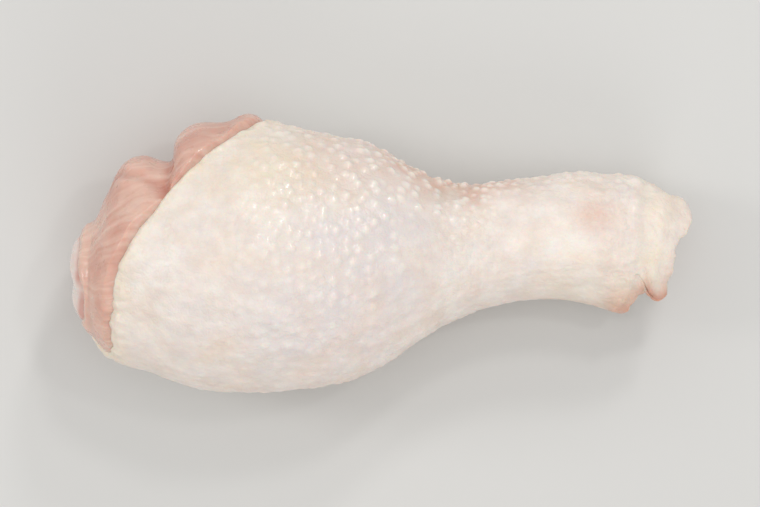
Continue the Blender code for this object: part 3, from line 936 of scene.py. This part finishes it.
def bone_mesh():
    """Rings from end to end, the mask of the rim round both ends, and the two poles."""
    angle = np.arange(BONE_AROUND) * math.tau / BONE_AROUND
    turns = np.linspace(0, math.pi / 2, BONE_END_ROWS + 2)[1:-1]

    def end(along, reach, relief, order):
        return [bone_dome(along, reach, relief, turn, angle)[0] for turn in order]

    head = end(MEAT_START, -BONE_KNEE_DOME, head_relief, turns[::-1])
    foot = end(BONE_END, BONE_ANKLE_DOME, foot_relief, turns)
    places = np.linspace(MEAT_START, BONE_END, BONE_SHAFT_ROWS)
    rows = np.array([*head, *(bone_ring(place, angle) for place in places), *foot])
    turn = np.concatenate([turns[::-1], np.zeros(BONE_SHAFT_ROWS), turns])[:, None] + 0 * angle
    rim = hill(turn - BONE_RIM_TURN, BONE_RIM_REACH) * (0.8 + rough(rows, (1, 4, 0.0)))
    rim[BONE_END_ROWS:-BONE_END_ROWS] = 1
    rim = np.clip(np.append(rim, (0, 0)), 0, 1)
    return rows, {"rim": rim}, rows[0].mean(0), rows[-1].mean(0)


# ---- meshes to objects
def placed(name, data):
    made = bpy.data.objects.new(name, data)
    bpy.context.scene.collection.objects.link(made)
    return made


def closed_mesh(name, rows, masks, poles):
    """A closed mesh through rings of points. With no poles, the last ring joins the first."""
    count, around = rows.shape[:2]
    verts = rows.reshape(-1, 3)
    ring = np.arange(around)
    following = (ring + 1) % around
    last = count - 1 if poles else count
    quads = []
    for k in range(last):
        a, b = k * around, ((k + 1) % count) * around
        quads.append(np.column_stack([a + ring, a + following, b + following, b + ring]))
    faces = np.concatenate(quads).tolist()
    if poles:
        verts = np.concatenate([verts, np.array(poles).reshape(2, 3)])
        start, top = count * around, (count - 1) * around
        pairs = list(zip(ring.tolist(), following.tolist()))
        faces += [[start, n, k] for k, n in pairs]
        faces += [[start + 1, top + k, top + n] for k, n in pairs]
    data = bpy.data.meshes.new(name)
    data.from_pydata(verts.tolist(), [], faces)
    data.shade_smooth()
    for mask, values in masks.items():
        layer = data.attributes.new(mask, "FLOAT", "POINT")
        layer.data.foreach_set("value", values.reshape(-1).astype(np.float32))
    data.validate()
    return placed(name, data)


def face_outwards(piece):
    """Turns the faces over if the mesh is inside out."""
    data = piece.data
    data.calc_loop_triangles()
    co = np.array([v.co for v in data.vertices])
    tri = np.array([t.vertices for t in data.loop_triangles])
    volume = np.sum(co[tri[:, 0]] * np.cross(co[tri[:, 1]], co[tri[:, 2]]))
    if volume < 0:
        data.flip_normals()


# ---- materials
class Shader:
    """Small helper to build node trees. Sizes are in millimetres."""

    def __init__(self, name):
        self.material = bpy.data.materials.new(name)
        self.material.use_nodes = True
        self.tree = self.material.node_tree
        self.bsdf = self.tree.nodes["Principled BSDF"]

    def node(self, kind, **settings):
        made = self.tree.nodes.new(kind)
        for key, value in settings.items():
            setattr(made, key, value)
        return made

    def put(self, socket, value):
        if isinstance(value, bpy.types.NodeSocket):
            self.tree.links.new(value, socket)
        else:
            socket.default_value = value

    def fill(self, node, **values):
        for key, value in values.items():
            self.put(node.inputs[key.replace("_", " ")], value)
        return node

    def set(self, **values):
        self.fill(self.bsdf, **values)

    def mask(self, name):
        return self.node("ShaderNodeAttribute", attribute_name=name).outputs["Fac"]

    def flow(self, width):
        """Noise drawn out along the muscles, from the places stored on the mesh."""
        vector = self.node("ShaderNodeCombineXYZ")
        self.fill(vector, X=self.mask("flow_x"), Y=self.mask("flow_y"), Z=self.mask("flow_z"))
        return self.noise_at(vector.outputs["Vector"], Scale=1 / width, Detail=3.0)

    def coordinates(self, scale=(1, 1, 1)):
        place = self.node("ShaderNodeTexCoord").outputs["Object"]
        mapping = self.fill(self.node("ShaderNodeMapping"), Vector=place, Scale=scale)
        return mapping.outputs["Vector"]

    def noise(self, size, detail=3.0, stretch=(1, 1, 1)):
        scale = 1 / (size * MM)
        return self.noise_at(self.coordinates(stretch), Scale=scale, Detail=detail, Roughness=0.55)

    def noise_at(self, vector, **values):
        made = self.fill(self.node("ShaderNodeTexNoise"), Vector=vector, **values)
        return made.outputs["Fac"]

    def pebbles(self, size):
        """Small rounded cells with fine creases between them."""
        made = self.node("ShaderNodeTexVoronoi", feature="DISTANCE_TO_EDGE")
        self.fill(made, Vector=self.coordinates(), Scale=1 / (size * MM))
        return self.range(made.outputs["Distance"], 0.0, 0.22)

    def mix(self, share, first, second):
        made = self.node("ShaderNodeMix", data_type="RGBA")
        self.put(made.inputs[0], share)
        self.put(made.inputs[6], first)
        self.put(made.inputs[7], second)
        return made.outputs[2]

    def tint(self, colour, mask, share, over):
        """The colour, with another over it where a mask on the mesh says so."""
        return self.mix(self.times(self.mask(mask), share), colour, over)

    def math(self, operation, first, second):
        made = self.node("ShaderNodeMath", operation=operation)
        self.put(made.inputs[0], first)
        self.put(made.inputs[1], second)
        return made.outputs[0]

    def times(self, first, second):
        return self.math("MULTIPLY", first, second)

    def range(self, value, low, high, to_low=0.0, to_high=1.0):
        made = self.node("ShaderNodeMapRange")
        self.fill(made, Value=value, From_Min=low, From_Max=high, To_Min=to_low, To_Max=to_high)
        return made.outputs["Result"]

    def bump(self, height, distance, strength, **after):
        made = self.node("ShaderNodeBump")
        self.fill(made, Height=height, Distance=distance * MM, Strength=strength, **after)
        return made.outputs["Normal"]


def tone(red, green, blue):
    """A colour from its 0 to 255 display values."""
    return (*(((c / 255 + 0.055) / 1.055) ** 2.4 for c in (red, green, blue)), 1)


def skin_material():
    m = Shader("raw_skin")
    cream, warm, pearl = tone(240, 231, 222), tone(228, 215, 205), tone(242, 233, 223)
    yellow, pink, grey = tone(234, 219, 195), tone(215, 173, 153), tone(216, 207, 207)
    raw = tone(206, 148, 124)
    colour = m.mix(m.range(m.noise(6, 4), 0.35, 0.65), cream, warm)
    colour = m.mix(m.range(m.noise(4.2), 0.50, 0.70, 0.0, 0.30), colour, grey)
    patch = m.range(m.noise(5, 4), 0.35, 0.7, 0.50, 1.0)
    # Grey where the mask says: muscle showing through, and painted shade at the belly's +Y edge.
    colour = m.tint(colour, "grey", m.times(patch, 0.75), grey)
    # Pink where the mask says: the skin's own blush, and painted shade at the belly's +Y edge, low
    # on the shank, between the follicles at the neck and round the notch.
    colour = m.tint(colour, "pink", m.times(patch, 0.9), pink)
    colour = m.tint(colour, "fat", m.times(patch, 0.9), yellow)
    colour = m.tint(colour, "tops", 0.45, pearl)
    # Raw colour where the mask says: the torn tab's own, and painted shade beside the notch's
    # groove and on the lobe.
    colour = m.tint(colour, "raw", 0.85, raw)
    m.set(Base_Color=colour)
    m.set(Roughness=m.range(m.noise(2.5), 0.3, 0.7, 0.34, 0.52))
    m.set(Subsurface_Weight=0.35, Subsurface_Radius=(1.0, 0.42, 0.26), Subsurface_Scale=1.8 * MM)
    # The wet film beads on the follicles, so that they glint and the skin between them less
    beaded = m.math("ADD", m.times(m.mask("tops"), 0.85), 0.15)
    m.set(Coat_Weight=m.times(m.mask("wet"), beaded), Coat_Roughness=0.14, IOR=1.42)
    fine = m.bump(m.pebbles(1.3), 0.05, 0.8)
    fine = m.bump(m.noise(0.8), 0.12, 0.7, Normal=fine)
    m.set(Normal=m.bump(m.noise(2.4, stretch=(0.45, 1, 1)), 0.25, 0.6, Normal=fine))
    return m.material


def meat_material():
    m = Shader("raw_meat")
    rosy, pale, deep = tone(212, 169, 152), tone(221, 187, 171), tone(193, 134, 117)
    crease, film, sinew = tone(182, 106, 86), tone(236, 209, 192), tone(234, 204, 188)
    fibres = m.flow(1.0)
    colour = m.mix(m.range(fibres, 0.35, 0.68), rosy, pale)
    colour = m.mix(m.range(m.noise(8, 2), 0.42, 0.72, 0.0, 0.65), colour, deep)
    # Painted shade: deep red where the mask marks valleys, seams, the recess at the notch and the
    # sinew ends at the ankle.
    colour = m.tint(colour, "crease", 0.75, crease)
    colour = m.mix(m.range(m.flow(3.5), 0.54, 0.76, 0.0, 0.6), colour, film)
    colour = m.tint(colour, "sinew", 0.6, sinew)
    m.set(Base_Color=colour)
    m.set(Roughness=m.range(m.noise(3), 0.3, 0.7, 0.20, 0.40))
    m.set(Subsurface_Weight=0.4, Subsurface_Radius=(1.0, 0.35, 0.22), Subsurface_Scale=3.0 * MM)
    m.set(Coat_Weight=0.3, Coat_Roughness=0.09, IOR=1.33)
    fine = m.bump(fibres, 0.06, 0.5)
    m.set(Normal=m.bump(m.noise(4, 2), 0.2, 0.2, Normal=fine))
    return m.material


def bone_material():
    m = Shader("joint_cartilage")
    dull, white = tone(228, 206, 196), tone(238, 228, 220)
    rosy, blood = tone(216, 160, 146), tone(200, 132, 116)
    colour = m.mix(m.range(m.noise(5), 0.38, 0.68), dull, white)
    colour = m.mix(m.range(m.noise(2.2, 4), 0.58, 0.75, 0.0, 0.5), colour, rosy)
    m.set(Base_Color=m.tint(colour, "rim", 0.75, blood))
    m.set(Roughness=m.range(m.noise(2, 2), 0.3, 0.7, 0.14, 0.26))
    m.set(Subsurface_Weight=0.3, Subsurface_Radius=(1.0, 0.5, 0.35), Subsurface_Scale=2.5 * MM)
    m.set(Coat_Weight=0.7, Coat_Roughness=0.05)
    m.set(Normal=m.bump(m.noise(2.2, 2), 0.15, 0.3))
    return m.material


# ---- floor, lights and camera
def add_floor():
    data = bpy.data.meshes.new("floor")
    corners = [(x * FLOOR_HALF, y * FLOOR_HALF, 0) for x, y in ((-1, -1), (1, -1), (1, 1), (-1, 1))]
    data.from_pydata(corners, [], [(0, 1, 2, 3)])
    m = Shader("floor")
    m.set(Base_Color=tone(209, 208, 205), Roughness=FLOOR_ROUGHNESS)
    data.materials.append(m.material)
    placed("floor", data)


def add_lights():
    for name, place, aim, size, watts in LIGHTS:
        light = bpy.data.lights.new(name, "AREA")
        light.shape = "ELLIPSE"
        light.size, light.size_y = size
        light.energy = watts
        lamp = placed(name, light)
        lamp.location = place
        lamp.rotation_euler = (Vector(aim) - Vector(place)).to_track_quat("-Z", "Y").to_euler()
    world = bpy.data.worlds.new("studio")
    world.use_nodes = True
    shade = world.node_tree.nodes["Background"]
    shade.inputs["Color"].default_value = (1, 1, 1, 1)
    shade.inputs["Strength"].default_value = WORLD_STRENGTH
    bpy.context.scene.world = world


def add_camera():
    data = bpy.data.cameras.new("camera")
    data.lens = LENS
    camera = placed("camera", data)
    low, high = cad_bounds
    middle = (low + high) / 2
    distance = data.lens / data.sensor_width * (high.x - low.x) / FRAME_SHARE
    camera.location = (middle.x, middle.y, high.z * FOCUS_HEIGHT + distance)
    bpy.context.scene.camera = camera


# ---- all together
def frame_shift():
    """From the form's own coordinates to the frame's, by the bone's box, which both share."""
    low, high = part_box("bone")
    angle = np.linspace(0, math.tau, 361)
    start, end = bone_ring(MEAT_START, angle), bone_ring(BONE_END, angle)
    own_low = np.array([start[0, 0] - BONE_KNEE_DOME, min(start[:, 1].min(), end[:, 1].min())])
    own_high = np.array([end[0, 0] + BONE_ANKLE_DOME, max(start[:, 1].max(), end[:, 1].max())])
    shift = (np.array(low)[:2] + np.array(high)[:2]) / 2 - (own_low + own_high) / 2
    return np.array([*shift, 0.0])


def main():
    bpy.context.scene.view_settings.view_transform = "Standard"
    shift = frame_shift()
    for name, node, made, surface in (
        ("skin_surface", "skin", skin_mesh(), skin_material()),
        ("meat_surface", "meat", meat_mesh(), meat_material()),
        ("bone_surface", "bone", bone_mesh(), bone_material()),
    ):
        rows, masks, *poles = made
        piece = closed_mesh(name, rows + shift, masks, [pole + shift for pole in poles])
        face_outwards(piece)
        piece.data.materials.append(surface)
        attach(piece, "root")
        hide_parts(node)
    add_floor()
    add_lights()
    add_camera()


main()
